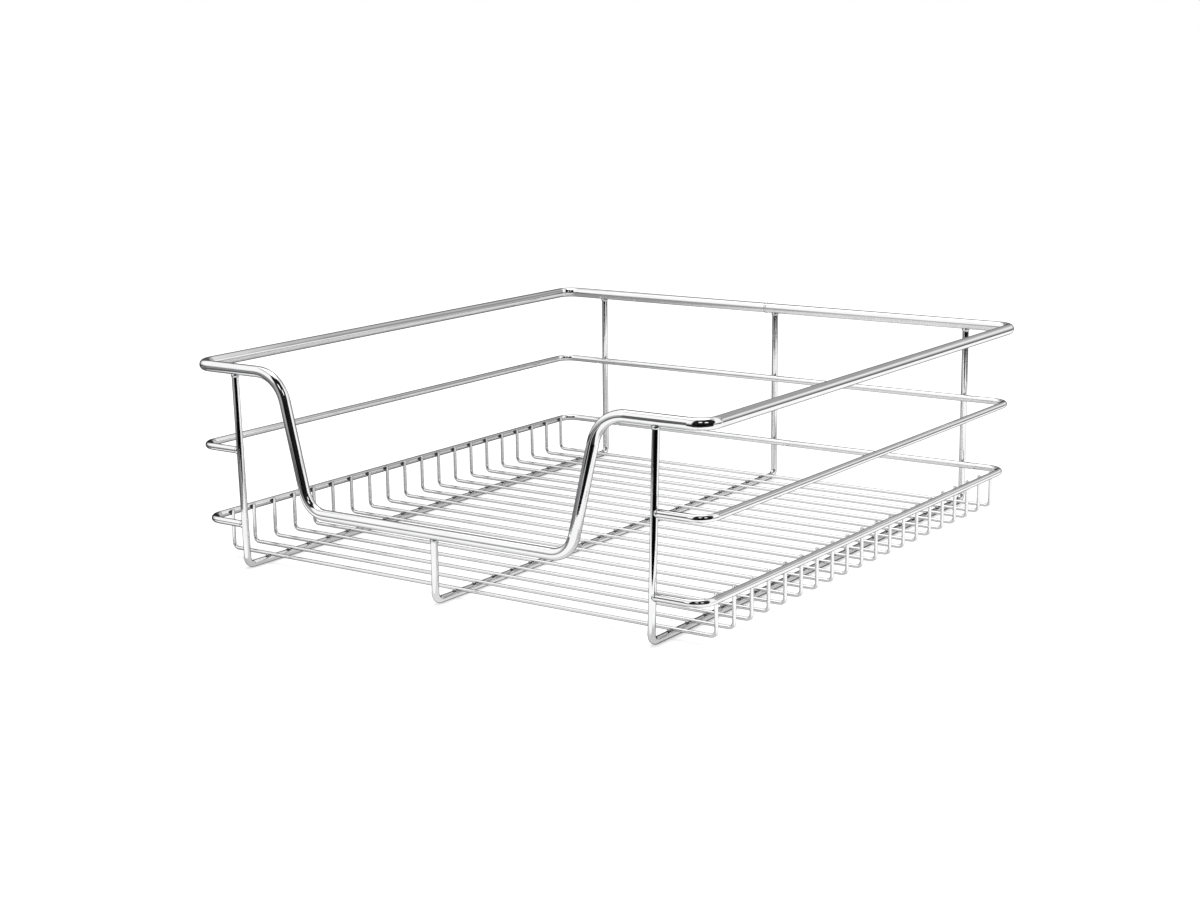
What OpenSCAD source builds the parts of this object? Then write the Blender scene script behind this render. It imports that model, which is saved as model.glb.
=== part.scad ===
// Pull-out cabinet basket: a welded basket of chrome-plated steel rod and wire.
// The basket stands on z = 0, the pull-out direction is -Y and X runs across the cabinet.

/* [Basket] */
// Overall width, over the rim
basket_w = 430; // [360:5:560]
// Overall depth, front to back, over the rim
basket_d = 460; // [360:5:560]
// Overall height, from the foot runs to the top of the rim
basket_h = 147.5; // [135:0.5:220]

/* [Rods] */
// Diameter of the rim rod
rim_rod_d = 8; // [6:0.5:10]
// Diameter of the two side rails
rail_rod_d = 5; // [4:0.5:6]
// Diameter of the three U-shaped frames
frame_rod_d = 5; // [4:0.5:6]
// Diameter of the floor wires
floor_wire_d = 2.5; // [2:0.1:4]

/* [Top rim] */
// Bend radius at the four corners, to the middle of the rod
rim_corner_r = 12; // [10:1:20]
// How far the low front run lies below the rim
dip_drop = 95; // [60:1:105]
// How far each front run at rim level reaches in from the middle of the side run
rim_front_run = 58; // [52:1:70]
// How far each slanted leg of the dip travels sideways, its two bends included
dip_leg_run = 57; // [48:1:90]
// Bend radius where the rim turns down into the dip
shoulder_r = 25; // [15:1:30]
// Bend radius where a slanted leg turns into the low front run
dip_r = 18; // [12:1:25]

/* [Side rails] */
// Height of the mid rail, to the middle of the rod
mid_rail_z = 85.5; // [60:0.5:110]
// How far the mid rail lies inside the middle of the rim rod, at each side
mid_rail_inset = 0; // [0:0.5:6]
// Height of the lower rail, to the middle of the rod
lower_rail_z = 32; // [24:0.5:50]
// How far the lower rail lies inside the middle of the rim rod, at each side
lower_rail_inset = 2.5; // [0:0.5:8]
// Bend radius at the corners of both rails
rail_corner_r = 12; // [8:1:20]

/* [Frames] */
// How far the foot runs of the outer frames lie inside the middle of the rim's side runs
frame_inset = 40; // [33:1:48]
// How far the front uprights of the outer frames lean outward on their way up to the rim
frame_splay = 4; // [0.5:0.5:8]
// Bend radius between an upright and its foot run
frame_bend_r = 5.5; // [4:0.5:12]

/* [Floor] */
// Number of floor wires
floor_wire_count = 20; // [10:1:30]
// Bend radius where a floor wire turns up
floor_bend_r = 4; // [2.5:0.5:8]
// How far the wire ends stand above the middle of the lower rail
floor_wire_tip = 2; // [0:0.1:4]

/* [Hidden] */
$fn = 48;

// Middle of the rim rod, on which the rest of the basket is set out
rim_x = (basket_w - rim_rod_d) / 2;
rim_y = (basket_d - rim_rod_d) / 2;
rim_z = basket_h - rim_rod_d / 2;
dip_z = rim_z - dip_drop;

// Where the outer frames stand, and the heights at which the frames stand and end
outer_frame_x = rim_x - frame_inset;
foot_z = frame_rod_d / 2;
rim_underside_z = rim_z - rim_rod_d / 2;
dip_underside_z = dip_z - rim_rod_d / 2;

// The rails run along the inner side of the back uprights
rail_back_y = rim_y - (frame_rod_d + rail_rod_d) / 2;

// The floor wires lie across the foot runs and end on the inner side of the lower rail
floor_wire_z = frame_rod_d + floor_wire_d / 2;
floor_wire_x = rim_x - lower_rail_inset - (rail_rod_d + floor_wire_d) / 2;
floor_wire_top_z = lower_rail_z + floor_wire_tip;
floor_pitch = 2 * rim_y / (floor_wire_count + 1);

// Steepness of the dip's legs: the line that touches both bends, from below one to above the other
dip_bend_dz = dip_drop - dip_r - shoulder_r;
dip_turn = atan2(dip_bend_dz, dip_leg_run)
    + asin((dip_r + shoulder_r) / norm([dip_leg_run, dip_bend_dz]));

// A slanted straight is this much thinner than its neighbours and reaches this far into them,
// so that the joint is a clean overlap
slant_step = 0.01;
slant_reach = 0.1;

// Outward lean of the outer front uprights, which turn about the middle of their foot runs.
// Its cosine is kept to six decimals, so that a leaning bend meets its foot run exactly
lean_cos = round(1e6 * cos(atan(frame_splay / (rim_underside_z - foot_z)))) / 1e6;
lean_angle = acos(lean_cos);
lean_slope = tan(lean_angle);

function two_digits(i) = str(i < 10 ? "0" : "", i);
function floor_wire_name(i) = str("floor_wire_", two_digits(i));
FLOOR_WIRES = [for (i = [1 : floor_wire_count]) floor_wire_name(i)];

// ---- Bent rods ----

function unit(v) = v / norm(v);

function is_slanted(along) = max([for (c = along) abs(c)]) < 0.99999;

// Angle by which a rod turns at corner b on its way from a to c
function turn_angle(a, b, c) = acos(unit(b - a) * unit(c - b));

// Distance from corner b to the point where its bend of radius r begins
function setback(a, b, c, r) = r * tan(turn_angle(a, b, c) / 2);

// Places children with their x and z axes along the given unit vectors
module place(origin, x_axis, z_axis) {
    y_axis = cross(z_axis, x_axis);
    multmatrix([for (k = [0 : 2]) [x_axis[k], y_axis[k], z_axis[k], origin[k]]])
        children();
}

// Straight round rod from a to b
module straight_rod(a, b, d) {
    along = unit(b - a);
    across = unit(cross(abs(along[2]) < 0.9 ? [0, 0, 1] : [0, 1, 0], along));
    place(a, across, along)
        cylinder(d = d, h = norm(b - a));
}

// Straight part of a rod between its bends at a and b, set out from a bend and not from a free end
module rod_straight(a, b, d, is_free_end) {
    along = unit(b - a);
    if (is_slanted(along))
        straight_rod(a - along * slant_reach, b + along * slant_reach, d - slant_step);
    else if (is_free_end)
        straight_rod(b, a, d);
    else
        straight_rod(a, b, d);
}

// Bend of radius r at corner b, for a round rod that comes from a and goes to c
module rod_bend(a, b, c, d, r) {
    // Set out from a straight that is parallel to an axis
    is_reversed = is_slanted(unit(b - a));
    from = is_reversed ? c : a;
    to = is_reversed ? a : c;
    along = unit(b - from);
    axis = unit(cross(b - from, to - b));
    start = b - along * setback(from, b, to, r);
    place(start + cross(axis, along) * r, cross(along, axis), axis)
        rotate_extrude(angle = turn_angle(from, b, to))
            translate([r, 0])
                circle(d = d);
}

function before(points, i) = points[(i + len(points) - 1) % len(points)];
function after(points, i) = points[(i + 1) % len(points)];

// Round rod of diameter d through all points, with one bend radius for each point it bends at:
// every point of a closed rod, all but the two ends of an open one
module bent_rod(points, d, bends, closed = false) {
    last = len(points) - 1;
    radii = closed ? bends : concat([0], bends, [0]);
    setbacks = [
        for (i = [0 : last])
            radii[i] == 0 ? 0 : setback(before(points, i), points[i], after(points, i), radii[i])
    ];
    for (i = [0 : last]) {
        if (radii[i] > 0)
            rod_bend(before(points, i), points[i], after(points, i), d, radii[i]);
        if (closed || i < last) {
            along = unit(after(points, i) - points[i]);
            a = points[i] + along * setbacks[i];
            b = after(points, i) - along * after(setbacks, i);
            rod_straight(a, b, d, is_free_end = radii[i] == 0);
        }
    }
}

// ---- Pieces ----

// One rod bent to a closed loop, with a dip in the front
module top_rim() {
    shoulder_start_x = rim_x - rim_front_run;
    shoulder_x = shoulder_start_x - shoulder_r * tan(dip_turn / 2);
    dip_corner_x = shoulder_start_x - dip_leg_run + dip_r * tan(dip_turn / 2);
    color("silver")
        bent_rod([
            [-rim_x, rim_y, rim_z],
            [-rim_x, -rim_y, rim_z],
            [-shoulder_x, -rim_y, rim_z],
            [-dip_corner_x, -rim_y, dip_z],
            [dip_corner_x, -rim_y, dip_z],
            [shoulder_x, -rim_y, rim_z],
            [rim_x, -rim_y, rim_z],
            [rim_x, rim_y, rim_z]
        ], rim_rod_d, [
            rim_corner_r, rim_corner_r, shoulder_r, dip_r,
            dip_r, shoulder_r, rim_corner_r, rim_corner_r
        ], closed = true);
}

// Sideways place of the middle of a leaning front upright at height z
function upright_x(z) = outer_frame_x + lean_slope * (z - foot_z);

// Rail round the sides and back at height z, with both ends on the leaning front uprights
module rail(z, inset) {
    side_x = rim_x - inset;
    end_x = upright_x(z + rail_rod_d / 2) + frame_rod_d / 2 / cos(lean_angle);
    color("silver")
        bent_rod([
            [-end_x, -rim_y, z],
            [-side_x, -rim_y, z],
            [-side_x, rail_back_y, z],
            [side_x, rail_back_y, z],
            [side_x, -rim_y, z],
            [end_x, -rim_y, z]
        ], rail_rod_d, [rail_corner_r, rail_corner_r, rail_corner_r, rail_corner_r]);
}

module mid_rail() rail(mid_rail_z, mid_rail_inset);

module lower_rail() rail(lower_rail_z, lower_rail_inset);

// U-shaped frame under the middle of the basket, from the low front run to the back of the rim
module frame_centre() {
    color("silver")
        bent_rod([
            [0, -rim_y, dip_underside_z],
            [0, -rim_y, foot_z],
            [0, rim_y, foot_z],
            [0, rim_y, rim_underside_z]
        ], frame_rod_d, [frame_bend_r, frame_bend_r]);
}

// U-shaped frame near one side: the front bend and upright lean outward as one
module outer_frame(side) {
    foot_front_y = -rim_y + frame_bend_r;
    // The high edge of the square-cut end meets the rim
    front_length = (rim_underside_z - foot_z) / cos(lean_angle) - frame_rod_d / 2 * lean_slope;
    color("silver") {
        translate([side * outer_frame_x, 0, 0])
            bent_rod([
                [0, foot_front_y, foot_z],
                [0, rim_y, foot_z],
                [0, rim_y, rim_underside_z]
            ], frame_rod_d, [frame_bend_r]);
        translate([side * outer_frame_x, 0, foot_z])
            rotate([0, side * lean_angle, 0]) {
                rod_bend([0, foot_front_y, 0], [0, -rim_y, 0], [0, -rim_y, frame_bend_r],
                    frame_rod_d, frame_bend_r);
                straight_rod([0, -rim_y, frame_bend_r], [0, -rim_y, front_length], frame_rod_d);
            }
    }
}

module frame_left() outer_frame(-1);

module frame_right() outer_frame(1);

// One floor wire, counted from the front, with both ends turned up onto the lower rail
module floor_wire(i) {
    y = -rim_y + i * floor_pitch;
    color("gainsboro")
        bent_rod([
            [-floor_wire_x, y, floor_wire_top_z],
            [-floor_wire_x, y, floor_wire_z],
            [floor_wire_x, y, floor_wire_z],
            [floor_wire_x, y, floor_wire_top_z]
        ], floor_wire_d, [floor_bend_r, floor_bend_r]);
}

top_rim();
mid_rail();
lower_rail();
frame_left();
frame_centre();
frame_right();
for (i = [1 : floor_wire_count])
    floor_wire(i);
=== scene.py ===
import math

import bmesh
import bpy
from mathutils import Matrix, Vector, noise


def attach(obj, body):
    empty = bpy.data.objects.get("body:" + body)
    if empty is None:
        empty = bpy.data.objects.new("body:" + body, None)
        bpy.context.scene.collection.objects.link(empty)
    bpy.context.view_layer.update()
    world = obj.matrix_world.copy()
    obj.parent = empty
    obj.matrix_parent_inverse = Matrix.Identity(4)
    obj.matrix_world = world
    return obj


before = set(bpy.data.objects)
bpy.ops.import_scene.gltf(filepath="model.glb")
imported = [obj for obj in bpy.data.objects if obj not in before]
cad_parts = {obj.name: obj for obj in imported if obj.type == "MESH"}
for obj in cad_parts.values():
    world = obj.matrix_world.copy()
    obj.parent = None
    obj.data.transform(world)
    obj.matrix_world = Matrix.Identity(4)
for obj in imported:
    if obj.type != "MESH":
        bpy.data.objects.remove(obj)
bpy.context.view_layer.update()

MM = 0.001
scene = bpy.context.scene

# ---- The basket's sizes, in mm, as in the CAD ----

RIM_Y, RIM_Z, RIM_R = 226, 143.5, 4
LOW_RUN_Z = 48.5
MID_RAIL_Z, LOWER_RAIL_Z, RAIL_R = 85.5, 32, 2.5
RAIL_BACK_Y = 221
FRAME_X, FRAME_R, FOOT_Z = 171, 2.5, 2.5
LEAN = 4 / 137
WIRE_COUNT, WIRE_R, WIRE_Z = 20, 1.25, 6.25
WIRE_END_X, WIRE_TOP_Z = 204.75, 34
WIRE_PITCH = 2 * RIM_Y / (WIRE_COUNT + 1)
WIRE_YS = [-RIM_Y + i * WIRE_PITCH for i in range(1, WIRE_COUNT + 1)]


def upright_x(z):
    """Middle of a leaning front upright at height z."""
    return FRAME_X + LEAN * (z - FOOT_Z)


# ---- Node trees ----


class Tree:
    """The node tree of a material or world, filled by its methods.

    A value is a number, a colour or another node's output."""

    def __init__(self, owner):
        owner.use_nodes = True
        self.nodes = owner.node_tree.nodes
        self.links = owner.node_tree.links
        self.nodes.clear()

    def add(self, kind, inputs=None, **settings):
        """A new node with these inputs, by name or number, and settings."""
        node = self.nodes.new(kind)
        for name, setting in settings.items():
            setattr(node, name, setting)
        for name, value in (inputs or {}).items():
            if isinstance(value, bpy.types.NodeSocket):
                self.links.new(value, node.inputs[name])
            else:
                node.inputs[name].default_value = value
        return node

    def calc(self, operation, *values):
        """One step of arithmetic."""
        return self.add("ShaderNodeMath", dict(enumerate(values)), operation=operation).outputs["Value"]

    def span(self, value, low, high, to_low, to_high, curve="LINEAR"):
        """A value from low to high, taken to the range from to_low to to_high."""
        ends = {"Value": value, "From Min": low, "From Max": high, "To Min": to_low, "To Max": to_high}
        return self.add("ShaderNodeMapRange", ends, interpolation_type=curve).outputs["Result"]

    def step(self, value, low, high, to_low, to_high):
        """Smooth step of a value, from to_low below low to to_high above high."""
        return self.span(value, low, high, to_low, to_high, curve="SMOOTHSTEP")

    def within(self, value, low, high, soft):
        """1 where the value lies between low and high, with soft edges."""
        above = self.step(value, low - soft, low + soft, 0, 1)
        return self.calc("MULTIPLY", above, self.step(value, high - soft, high + soft, 1, 0))

    def blend(self, share, below, above):
        """From below, where the share is 0, to above, where it is 1."""
        return self.calc("MULTIPLY_ADD", share, self.calc("SUBTRACT", above, below), below)

    def ramp(self, value, stops):
        """Colour along a value from 0 to 1, given by stops (value, colour)."""
        node = self.add("ShaderNodeValToRGB", {"Fac": value})
        elements = node.color_ramp.elements
        for place, colour in stops[1:-1]:
            elements.new(place)
        for element, (place, colour) in zip(elements, stops):
            element.position = place
            element.color = (*colour, 1)
        return node.outputs["Color"]

    def profile(self, value, stops):
        """Brightness along a value, given by stops (value, brightness)."""
        start, end = stops[0][0], stops[-1][0]
        greys = [((place - start) / (end - start), (grey, grey, grey)) for place, grey in stops]
        return self.ramp(self.span(value, start, end, 0, 1), greys)

    def noise(self, place, scale, detail):
        """Cloudy noise from 0 to 1."""
        inputs = {"Vector": place, "Scale": scale, "Detail": detail}
        return self.add("ShaderNodeTexNoise", inputs).outputs["Fac"]

    def axes(self, vector):
        """A vector's X, Y and Z."""
        node = self.add("ShaderNodeSeparateXYZ", {"Vector": vector})
        return [node.outputs[axis] for axis in "XYZ"]


def new_material(name):
    material = bpy.data.materials.new(name)
    return material, Tree(material)


# ---- Chrome ----

# Sockets of the Mix node when it mixes colours
MIX_A, MIX_B, MIX_RESULT = 6, 7, 2
PIT_SCALE = 900
# The right side runs, beyond this X in metres, are seen at a slant: their painted edge shade is taken as
# if they turned towards the eye by this factor more
SLANT_X = (0.196, 0.206)
SLANT = 1.75


def chrome(name, dark, light, edge, rough, grain, wave, pit_depth):
    """Chrome plating: bright metal with faint clouds, uneven gloss, long waves and fine pits, and a
    painted shade that darkens it towards its outline.

    edge is (share, start, end): how far the painted shade darkens the metal where it turns away from the
    eye, and from where to where on the Facing scale. rough is (low, high) and wave is (scale, depth)."""
    material, tree = new_material(name)
    place = tree.add("ShaderNodeTexCoord").outputs["Object"]

    share, start, end = edge
    # Painted shade: base colour and gloss tint darken towards the outline, where the metal turns away
    # from the eye
    facing = tree.add("ShaderNodeLayerWeight", {"Blend": 0.5}).outputs["Facing"]
    slant = tree.span(tree.axes(place)[0], *SLANT_X, 1, SLANT)
    turned = tree.calc("MULTIPLY_ADD", tree.calc("SUBTRACT", facing, 1), slant, 1)
    painted_edge_shade = tree.step(turned, start, end, 1, share)

    clouds = tree.noise(place, grain, detail=5)
    colour = tree.ramp(clouds, [(0.3, dark), (0.6, light)])
    tone = tree.add("ShaderNodeMix", {"Factor": 1, MIX_A: colour, MIX_B: painted_edge_shade},
                    data_type="RGBA", blend_type="MULTIPLY")

    wave_scale, wave_depth = wave
    waves = tree.add("ShaderNodeBump", {"Height": tree.noise(place, wave_scale, detail=1),
                                        "Distance": wave_depth})
    pits = tree.add("ShaderNodeBump", {"Height": tree.noise(place, PIT_SCALE, detail=3),
                                       "Distance": pit_depth, "Normal": waves.outputs["Normal"]})
    shader = tree.add("ShaderNodeBsdfPrincipled", {
        "Metallic": 1, "Base Color": tone.outputs[MIX_RESULT], "Specular Tint": painted_edge_shade,
        "Roughness": tree.span(clouds, 0.3, 0.7, *rough), "Normal": pits.outputs["Normal"]})
    tree.add("ShaderNodeOutputMaterial", {"Surface": shader.outputs["BSDF"]})
    return material


RIM_CHROME = chrome("chrome_rim", (0.92, 0.92, 0.93), (0.975, 0.975, 0.98), edge=(0.35, 0.50, 0.85),
                    rough=(0.03, 0.07), grain=45, wave=(14, 0.0004), pit_depth=0.00001)
RAIL_CHROME = chrome("chrome_rail", (0.91, 0.91, 0.92), (0.97, 0.97, 0.975), edge=(0.20, 0.42, 0.80),
                     rough=(0.04, 0.09), grain=60, wave=(18, 0.0003), pit_depth=0.00001)
FRAME_CHROME = chrome("chrome_frame", (0.91, 0.91, 0.92), (0.97, 0.97, 0.975), edge=(0.10, 0.50, 0.80),
                      rough=(0.04, 0.09), grain=60, wave=(18, 0.0003), pit_depth=0.00001)
WIRE_CHROME = chrome("chrome_wire", (0.96, 0.96, 0.965), (0.99, 0.99, 0.99), edge=(0, 0.34, 0.62),
                     rough=(0.04, 0.09), grain=90, wave=(25, 0.0002), pit_depth=0.00001)
WELD_CHROME = chrome("chrome_weld", (0.62, 0.63, 0.65), (0.92, 0.925, 0.93), edge=(0.10, 0.40, 0.80),
                     rough=(0.10, 0.26), grain=500, wave=(300, 0.0002), pit_depth=0.00003)
# Near-black metal for lumps beside the welds: painted shade and dark reflection of the wires on the rods
SHADE_SPOT_METAL = chrome("painted_shade_spot", (0.03, 0.03, 0.03), (0.16, 0.16, 0.165), edge=(0.30, 0.40, 0.90),
                    rough=(0.18, 0.34), grain=400, wave=(300, 0.0001), pit_depth=0.00003)

FINISH = {"rim_rod": RIM_CHROME, "rail_rod": RAIL_CHROME, "frame_rod": FRAME_CHROME,
          "floor_wire": WIRE_CHROME}
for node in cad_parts:
    for slot in bpy.data.objects[node].material_slots:
        slot.material = FINISH[slot.material.name.split(".")[0]]

# ---- Welds: sizes in mm ----

# Radii of the lumps of weld metal, and of the dark lumps at the welds that paint shade and dark
# reflection, along x, y and z
FOOT_BEAD, FOOT_SHADE_SPOT = (2.2, 1.6, 0.9), (1.5, 2.4, 0.75)
WIRE_BEAD, WIRE_TIP, WIRE_SHADE_SPOT = (0.8, 1.6, 1.5), (1.25, 1.25, 0.6), (0.9, 1.1, 1.5)
RAIL_BEAD = (2.4, 0.9, 2.4)
# How far the middle of a dark lump of painted shade lies from its wire and below the top of the foot run
FOOT_SHADE_SPOT_RIGHT, FOOT_SHADE_SPOT_FRONT, FOOT_SHADE_SPOT_DOWN = 0.4, 2.6, 0.35
# The same at a wire's end, from the middles of the wire and the lower rail, and by how much a dark lump
# of painted shade lies lower on the right and higher on the left
WIRE_SHADE_SPOT_OUT, WIRE_SHADE_SPOT_FRONT, WIRE_SHADE_SPOT_DOWN, WIRE_SHADE_SPOT_SHIFT = 0.9, 1.5, 0.4, 0.9
WIRE_BEAD_UP = 0.4
# Upset metal round a rod's end or joint: how far it stands out from the rod along its axis
UPRIGHT_TOP = [(-1.9, -0.05), (-1.4, 0.15), (-0.8, 0.4), (-0.2, 0.45), (0.5, 0.1), (1.3, -0.7)]
RAIL_END = [(-1.2, -0.3), (-0.4, 0.3), (0.2, 0.35), (0.9, 0.15), (1.8, -0.05)]
RIM_SEAM = [(-1.3, -0.05), (-0.7, 0.1), (0, 0.16), (0.7, 0.1), (1.3, -0.05)]
RIM_SEAM_X = -8
COLLAR_SIDES = 28
# Unevenness of the weld metal, as a share of its size, and for lumps the scale of its noise
SWELL, RIPPLE, WOBBLE = (0.16, 1.6), (0.05, 5), 0.05
SIDES = ((-1, "left"), (1, "right"))
FEET = ((-1, "left"), (0, "centre"), (1, "right"))
FEET_X = (-FRAME_X, 0, FRAME_X)


def add_lump(mesh, centre, radii, seed):
    """A rough rounded lump of weld metal, whose form its seed decides."""
    made = bmesh.ops.create_icosphere(mesh, subdivisions=3, radius=1.0)
    shift = Vector((seed * 3.7, seed * 1.3, seed * 2.9))
    for v in made["verts"]:
        swell = 1
        for share, scale in (SWELL, RIPPLE):
            swell += share * noise.noise(v.co * scale + shift)
        point = Vector((v.co.x * radii[0], v.co.y * radii[1], v.co.z * radii[2])) * swell
        v.co = (Vector(centre) + point) * MM


def add_collar(mesh, centre, axis, rod_r, outline, seed):
    """A ring of upset metal round a rod: outline lists (distance along the axis, height)."""
    axis = Vector(axis).normalized()
    side = axis.orthogonal().normalized()
    across = axis.cross(side)
    rings = []
    for along, height in outline:
        ring = []
        for k in range(COLLAR_SIDES):
            angle = 2 * math.pi * k / COLLAR_SIDES
            wobble = 1 + WOBBLE * noise.noise(Vector((math.cos(angle), math.sin(angle), seed * 2.3)))
            outward = side * math.cos(angle) + across * math.sin(angle)
            point = Vector(centre) + axis * along + outward * (rod_r + height) * wobble
            ring.append(mesh.verts.new(point * MM))
        rings.append(ring)
    for low, high in zip(rings, rings[1:]):
        for k in range(COLLAR_SIDES):
            n = (k + 1) % COLLAR_SIDES
            mesh.faces.new((low[k], low[n], high[n], high[k]))
    mesh.faces.new(list(reversed(rings[0])))
    mesh.faces.new(rings[-1])


def finish_welds(mesh, name, metal=WELD_CHROME):
    """Makes a mesh of welds into a piece."""
    data = bpy.data.meshes.new(name)
    bmesh.ops.recalc_face_normals(mesh, faces=mesh.faces)
    mesh.to_mesh(data)
    mesh.free()
    for face in data.polygons:
        face.use_smooth = True
    data.materials.append(metal)
    obj = bpy.data.objects.new(name, data)
    scene.collection.objects.link(obj)
    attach(obj, "root")


def foot_welds(side, name):
    """Where the floor wires cross a foot run: a bead under each wire, and a dark lump of painted shade
    and dark reflection that runs out of it along the top of the foot run, towards the front."""
    beads, shade_spots = bmesh.new(), bmesh.new()
    for i, y in enumerate(WIRE_YS):
        seed = i + 40 * side
        add_lump(beads, (side * FRAME_X, y, WIRE_Z - WIRE_R), FOOT_BEAD, seed)
        shade_spot = (side * FRAME_X + FOOT_SHADE_SPOT_RIGHT, y - FOOT_SHADE_SPOT_FRONT, 2 * FRAME_R - FOOT_SHADE_SPOT_DOWN)
        add_lump(shade_spots, shade_spot, FOOT_SHADE_SPOT, seed + 7)
    finish_welds(beads, f"welds_foot_{name}")
    finish_welds(shade_spots, f"painted_shade_foot_{name}", SHADE_SPOT_METAL)


def wire_end_welds(side, name):
    """Where the floor wires end on the lower rail: plated tips, beads, and dark lumps of painted shade
    and dark reflection that lie lower on the right."""
    beads, shade_spots = bmesh.new(), bmesh.new()
    shade_spot_x = side * (WIRE_END_X + WIRE_SHADE_SPOT_OUT)
    shade_spot_z = LOWER_RAIL_Z - WIRE_SHADE_SPOT_DOWN - WIRE_SHADE_SPOT_SHIFT * side
    for i, y in enumerate(WIRE_YS):
        seed = i + 90 * side
        bead = (side * (WIRE_END_X + WIRE_R), y, LOWER_RAIL_Z + WIRE_BEAD_UP)
        add_lump(beads, bead, WIRE_BEAD, seed)
        add_lump(beads, (side * WIRE_END_X, y, WIRE_TOP_Z), WIRE_TIP, seed + 40)
        add_lump(shade_spots, (shade_spot_x, y - WIRE_SHADE_SPOT_FRONT, shade_spot_z), WIRE_SHADE_SPOT, seed + 80)
    finish_welds(beads, f"welds_wire_ends_{name}")
    finish_welds(shade_spots, f"painted_shade_wire_ends_{name}", SHADE_SPOT_METAL)


def upright_welds():
    """Where the uprights meet the rim from below."""
    mesh = bmesh.new()
    top = RIM_Z - RIM_R
    for i, (side, _) in enumerate(SIDES):
        add_collar(mesh, (side * upright_x(top), -RIM_Y, top), (side * LEAN, 0, 1), FRAME_R,
                   UPRIGHT_TOP, seed=i)
    add_collar(mesh, (0, -RIM_Y, LOW_RUN_Z - RIM_R), (0, 0, 1), FRAME_R, UPRIGHT_TOP, seed=2)
    for i, x in enumerate(FEET_X):
        add_collar(mesh, (x, RIM_Y, top), (0, 0, 1), FRAME_R, UPRIGHT_TOP, seed=3 + i)
    finish_welds(mesh, "welds_upright_tops")


def rail_welds():
    """Where the rails pass the back uprights and end on the front ones."""
    mesh = bmesh.new()
    for z in (MID_RAIL_Z, LOWER_RAIL_Z):
        for x in FEET_X:
            add_lump(mesh, (x, RAIL_BACK_Y + RAIL_R, z), RAIL_BEAD, seed=x + z)
        for side, _ in SIDES:
            end_x = upright_x(z) + FRAME_R
            add_collar(mesh, (side * end_x, -RIM_Y, z), (-side, 0, 0), RAIL_R, RAIL_END, seed=z + side)
    finish_welds(mesh, "welds_rails")


def rim_weld():
    """The rim's butt weld, in its back run."""
    mesh = bmesh.new()
    add_collar(mesh, (RIM_SEAM_X, RIM_Y, RIM_Z), (1, 0, 0), RIM_R, RIM_SEAM, seed=17)
    finish_welds(mesh, "weld_rim_seam")


for side, name in FEET:
    foot_welds(side, name)
for side, name in SIDES:
    wire_end_welds(side, name)
upright_welds()
rail_welds()
rim_weld()

# ---- Camera ----

AZIMUTH, ELEVATION, ROLL = math.radians(34.561), math.radians(11.969), math.radians(-0.584)
TARGET = Vector((-0.02175, -0.00015, 0.06197))
DISTANCE = 1.5467
LENS, SENSOR = 61.59, 36
backward = Vector((math.sin(AZIMUTH) * math.cos(ELEVATION), -math.cos(AZIMUTH) * math.cos(ELEVATION),
                   math.sin(ELEVATION)))
right = Vector((math.cos(AZIMUTH), math.sin(AZIMUTH), 0))
up = backward.cross(right)
camera_right = right * math.cos(ROLL) + up * math.sin(ROLL)
camera_up = up * math.cos(ROLL) - right * math.sin(ROLL)
camera_data = bpy.data.cameras.new("camera")
camera_data.lens = LENS
camera_data.sensor_width = SENSOR
camera = bpy.data.objects.new("camera", camera_data)
scene.collection.objects.link(camera)
camera.matrix_world = Matrix.Translation(TARGET + backward * DISTANCE) @ Matrix(
    (camera_right, camera_up, backward)).transposed().to_4x4()
scene.camera = camera

# ---- Floor and cards: places in mm ----


def floor_paper():
    """White paper, which takes shadow and looks whiter to the camera than it lights the basket."""
    material, tree = new_material("floor_white")
    paper = tree.add("ShaderNodeBsdfDiffuse", {"Color": (0.86, 0.86, 0.86, 1)})
    lift = tree.calc("MULTIPLY", tree.add("ShaderNodeLightPath").outputs["Is Camera Ray"], 0.25)
    glow = tree.add("ShaderNodeEmission", {"Color": (1, 1, 1, 1), "Strength": lift})
    both = tree.add("ShaderNodeAddShader", {0: paper.outputs["BSDF"], 1: glow.outputs["Emission"]})
    tree.add("ShaderNodeOutputMaterial", {"Surface": both.outputs["Shader"]})
    return material


def glowing(name, red, green, blue):
    """A card that is evenly bright."""
    material, tree = new_material(name)
    glow = tree.add("ShaderNodeEmission", {"Color": (red, green, blue, 1), "Strength": 1})
    tree.add("ShaderNodeOutputMaterial", {"Surface": glow.outputs["Emission"]})
    return material


# Brightness of the floor in the chrome along X, in metres: grey at the left, paler in the middle
# and white beyond the right side
FLOOR_TONES = [(-0.30, 0.30), (-0.22, 0.36), (-0.19, 0.42), (-0.157, 0.55), (-0.118, 0.64),
               (-0.06, 0.74), (0.08, 0.72), (0.207, 0.55), (0.216, 1.0)]
# Y, in metres, between which it goes from white in front of the basket to those tones
FLOOR_FRONT_Y = (-0.262, -0.232)
FLOOR_FRONT_TONE = 0.98


def floor_glow():
    """The floor as the chrome shows it."""
    material, tree = new_material("floor_in_chrome")
    x, y, _ = tree.axes(tree.add("ShaderNodeNewGeometry").outputs["Position"])
    front = tree.step(y, *FLOOR_FRONT_Y, FLOOR_FRONT_TONE, 0)
    tone = tree.calc("MAXIMUM", tree.profile(x, FLOOR_TONES), front)
    glow = tree.add("ShaderNodeEmission", {"Color": (1, 1, 1, 1), "Strength": tone})
    tree.add("ShaderNodeOutputMaterial", {"Surface": glow.outputs["Emission"]})
    return material


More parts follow.
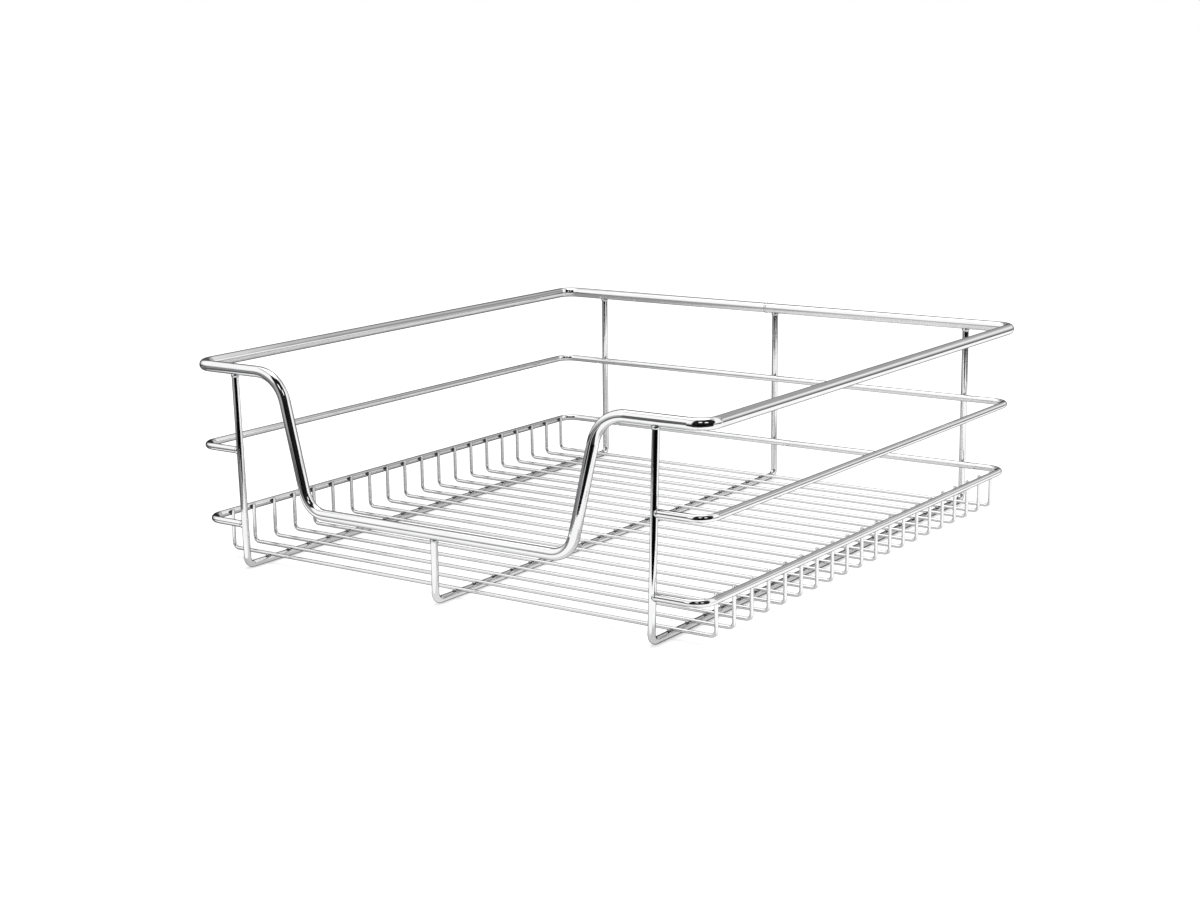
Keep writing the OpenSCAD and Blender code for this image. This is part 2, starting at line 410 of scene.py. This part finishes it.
def staged(name, corners, material, mirrored_only=True):
    """A flat card or floor of the studio, which the camera sees or only the chrome shows."""
    data = bpy.data.meshes.new(name)
    data.from_pydata([Vector(c) * MM for c in corners], [], [tuple(range(len(corners)))])
    data.materials.append(material)
    obj = bpy.data.objects.new(name, data)
    scene.collection.objects.link(obj)
    obj.visible_camera = not mirrored_only
    obj.visible_diffuse = not mirrored_only
    obj.visible_shadow = not mirrored_only
    obj.visible_glossy = mirrored_only


def lying(z, outline):
    """Corners of a sheet that lies at height z, from its outline in X and Y."""
    return [(x, y, z) for x, y in outline]


def standing(y, outline):
    """Corners of a card that stands at y, from its outline in X and Z."""
    return [(x, y, z) for x, z in outline]


# How far the floor reaches
FAR = 1300
# Height of the grey sheets beyond the mirrored floor, and of the cards that lie on them
SHEET_Z, CARD_Z, STRIP_Z = -1, -0.5, -0.4
# Where the dark flags stand, in front of the basket
FLAG_Y = -850

staged("floor", lying(0, [(-FAR, -FAR), (FAR, -FAR), (FAR, FAR), (-FAR, FAR)]), floor_paper(),
       mirrored_only=False)
# The floor that the chrome shows ends a little way in front of the basket, with grey sheets beyond
# it at the left
staged("floor_mirrored",
       lying(0, [(-FAR, -150), (-400, -150), (-330, -300), (-250, -400), (-60, -450), (60, -450),
                 (110, -425), (190, -360), (340, -290), (420, -200), (900, -200), (700, 450),
                 (480, 560), (480, FAR), (-FAR, FAR)]), floor_glow())
staged("floor_grey",
       lying(SHEET_Z, [(-FAR, -620), (-30, -620), (-30, -440), (-400, -150), (-FAR, -150)]),
       glowing("card_grey", 0.24, 0.24, 0.245))
staged("floor_far", lying(SHEET_Z, [(-FAR, -620), (-FAR, -FAR), (-480, -FAR), (-440, -620)]),
       glowing("card_pale", 0.34, 0.34, 0.345))
staged("card_left",
       lying(CARD_Z, [(-270, -330), (-300, -480), (-500, -560), (-620, -300), (-380, -200)]),
       glowing("card_dark", 0.12, 0.12, 0.125))
staged("card_strip", lying(STRIP_Z, [(15, -455), (52, -455), (0, -670), (-50, -670)]),
       glowing("card_white", 0.85, 0.85, 0.85))
# Dark flag that stands in front, with a paler one to its left
staged("card_front", standing(FLAG_Y, [(-270, 0), (-150, 0), (-150, 420), (-270, 360)]),
       glowing("card_black", 0.12, 0.12, 0.12))
staged("card_pale_front", standing(FLAG_Y, [(-520, 0), (-270, 0), (-270, 360), (-520, 150)]),
       glowing("card_mid", 0.42, 0.42, 0.42))

# ---- World: a white tent that is open at the horizon and round the camera, and grey at the back ----

# Brightness along the height of a ray, from straight down to straight up
FRONT_WALL = [(-1, 0.03), (-0.02, 0.03), (0.03, 0.42), (0.18, 0.68), (0.30, 1.0), (0.79, 1.0),
              (0.83, 0.6), (1, 0.6)]
BACK_WALL = [(-1, 0.7), (-0.02, 0.7), (0.05, 0.42), (0.22, 0.42), (0.34, 0.33), (0.44, 0.27),
             (0.54, 0.28), (0.60, 0.5), (0.66, 0.5), (0.72, 0.36), (0.85, 0.5), (1, 0.6)]
# What the right side rods show: the far floor, its dark end, a white wall and grey above it
RIGHT_WALL = [(-1, 0.95), (-0.28, 0.95), (-0.21, 0.40), (-0.15, 0.12), (-0.04, 0.12), (0.08, 0.40),
              (0.17, 0.62), (0.25, 0.84), (0.34, 0.90), (0.40, 0.62), (0.46, 0.36), (1, 0.36)]
RIGHT_WALL_GREY = 0.36
# Where these walls begin and end, along the X, Y and Z of a ray
BACK_Y, BACK_LEFT_Y, BACK_LEFT_X = (0.66, 0.74), (0.25, 0.42), (-0.40, -0.25)
RIGHT_WALL_Y, RIGHT_WALL_GREY_X = (0.80, 0.84), (-0.08, 0)
SIDE_WALL_X, SIDE_WALL_Y, SIDE_WALL_Z, SIDE_WALL_SOFT = (0.60, 0.66), (0.05, 0.22), (0.065, 0.45), 0.03
# The dark room round the camera: its middle, its edge as a cosine from there, the direction of its
# right half in degrees, its upper end along Z, and how far it takes the light away
ROOM_MIDDLE, ROOM_EDGE = (0.466, -0.705, 0.534), (0.46, 0.50)
ROOM_RIGHT, ROOM_RIGHT_EDGE, ROOM_TOP_Z = 84, (-0.05, 0.05), (0.94, 0.975)
ROOM_DARK = 0.985
# The lamps in it: degrees from straight in front of the basket towards its right, and rise
LAMPS = ((32, 0.84), (62, 0.67))
LAMP_EDGE, LAMP_STRENGTH = (0.989, 0.994), 1.3

world = bpy.data.worlds.new("studio")
scene.world = world
sky = Tree(world)
ray = sky.add("ShaderNodeTexCoord").outputs["Generated"]
across, depth, height = sky.axes(ray)


def heading(degrees, rise=0.0):
    """Direction at an angle from straight in front of the basket towards its right, with a rise."""
    angle = math.radians(degrees)
    return Vector((math.sin(angle), -math.cos(angle), rise))


def towards(direction):
    """Cosine of the angle between the ray and a direction."""
    inputs = {0: ray, 1: Vector(direction).normalized()}
    return sky.add("ShaderNodeVectorMath", inputs, operation="DOT_PRODUCT").outputs["Value"]


def walls():
    """The tent's front, its back and, farthest back, what the right side rods show."""
    left = sky.calc("MULTIPLY", sky.step(depth, *BACK_LEFT_Y, 0, 1), sky.step(across, *BACK_LEFT_X, 1, 0))
    at_back = sky.calc("MAXIMUM", sky.step(depth, *BACK_Y, 0, 1), left)
    tent = sky.blend(at_back, sky.profile(height, FRONT_WALL), sky.profile(height, BACK_WALL))
    grey = sky.step(across, *RIGHT_WALL_GREY_X, 1, 0)
    far_right = sky.blend(grey, sky.profile(height, RIGHT_WALL), RIGHT_WALL_GREY)
    return sky.blend(sky.step(depth, *RIGHT_WALL_Y, 0, 1), tent, far_right)


def white_side_wall():
    """1 on the white wall at the right."""
    level = sky.within(height, *SIDE_WALL_Z, SIDE_WALL_SOFT)
    wall = sky.calc("MULTIPLY", level, sky.step(across, *SIDE_WALL_X, 0, 1))
    return sky.calc("MULTIPLY", wall, sky.step(depth, *SIDE_WALL_Y, 0, 1))


def dark_room():
    """1 in the dark room round the camera."""
    room = sky.step(towards(ROOM_MIDDLE), *ROOM_EDGE, 0, 1)
    right_half = sky.step(towards(heading(ROOM_RIGHT)), *ROOM_RIGHT_EDGE, 0, 1)
    low = sky.step(height, *ROOM_TOP_Z, 1, 0)
    return sky.calc("MULTIPLY", sky.calc("MULTIPLY", room, right_half), low)


tent = sky.calc("MAXIMUM", walls(), white_side_wall())
tent = sky.calc("MULTIPLY", tent, sky.calc("MULTIPLY_ADD", dark_room(), -ROOM_DARK, 1))
for degrees, rise in LAMPS:
    lamp = sky.step(towards(heading(degrees, rise)), *LAMP_EDGE, 0, LAMP_STRENGTH)
    tent = sky.calc("MAXIMUM", tent, lamp)

# Only the chrome shows the tent: the camera and the floor get plain white
path = sky.add("ShaderNodeLightPath")
glossy = sky.calc("MAXIMUM", path.outputs["Is Glossy Ray"], path.outputs["Is Transmission Ray"])
level = sky.add("ShaderNodeMix", {"Factor": glossy, "A": 1, "B": tent}, data_type="FLOAT")
light = sky.add("ShaderNodeBackground", {"Color": (1, 1, 1, 1), "Strength": level.outputs["Result"]})
sky.add("ShaderNodeOutputWorld", {"Surface": light.outputs["Background"]})

# ---- One soft lamp above ----

soft_data = bpy.data.lights.new("soft_top", "AREA")
soft_data.size = 1.2
soft_data.energy = 6
soft_lamp = bpy.data.objects.new("soft_top", soft_data)
soft_lamp.location = (-0.3, 0.2, 1.6)
soft_lamp.rotation_euler = (-soft_lamp.location).to_track_quat("-Z", "Y").to_euler()
scene.collection.objects.link(soft_lamp)

scene.view_settings.view_transform = "Standard"
